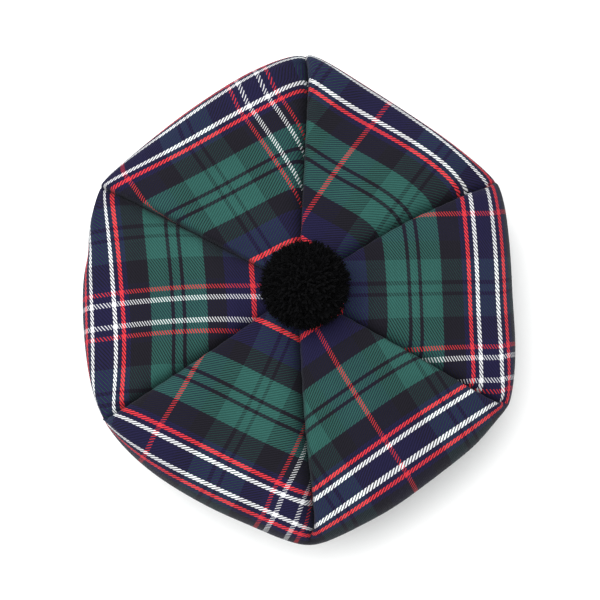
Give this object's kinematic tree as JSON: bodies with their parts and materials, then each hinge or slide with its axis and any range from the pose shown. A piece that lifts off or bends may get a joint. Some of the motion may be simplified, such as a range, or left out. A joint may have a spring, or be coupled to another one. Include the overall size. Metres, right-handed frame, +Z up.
{
  "type": "tam o' shanter",
  "caption": "Soft wide tartan cap with a gored hexagonal crown, a narrow upright headband and a woolly pompom on the crown.",
  "frame": {"origin": "middle of the headband's lower edge, on the surface that the hat stands on, straight below the centre of the crown", "axes": "+Z up out of the crown through the pompom, +Y towards the north corner of the crown (the top of the picture), +X to the right of the picture"},
  "size_m": [0.2591, 0.3022, 0.1172],
  "materials": {
    "tartan": "woollen twill in green, navy and black with red and white lines",
    "band_tartan": "woollen twill in green, navy and black with red and white lines",
    "pompom_wool": "cut black wool yarn"
  },
  "bodies": {
    "root": {"gore_north_east": "tartan", "gore_east": "tartan", "gore_south_east": "tartan", "gore_south_west": "tartan", "gore_west": "tartan", "gore_north_west": "tartan", "headband": "band_tartan", "pompom": "pompom_wool"}
  },
  "joints": []
}
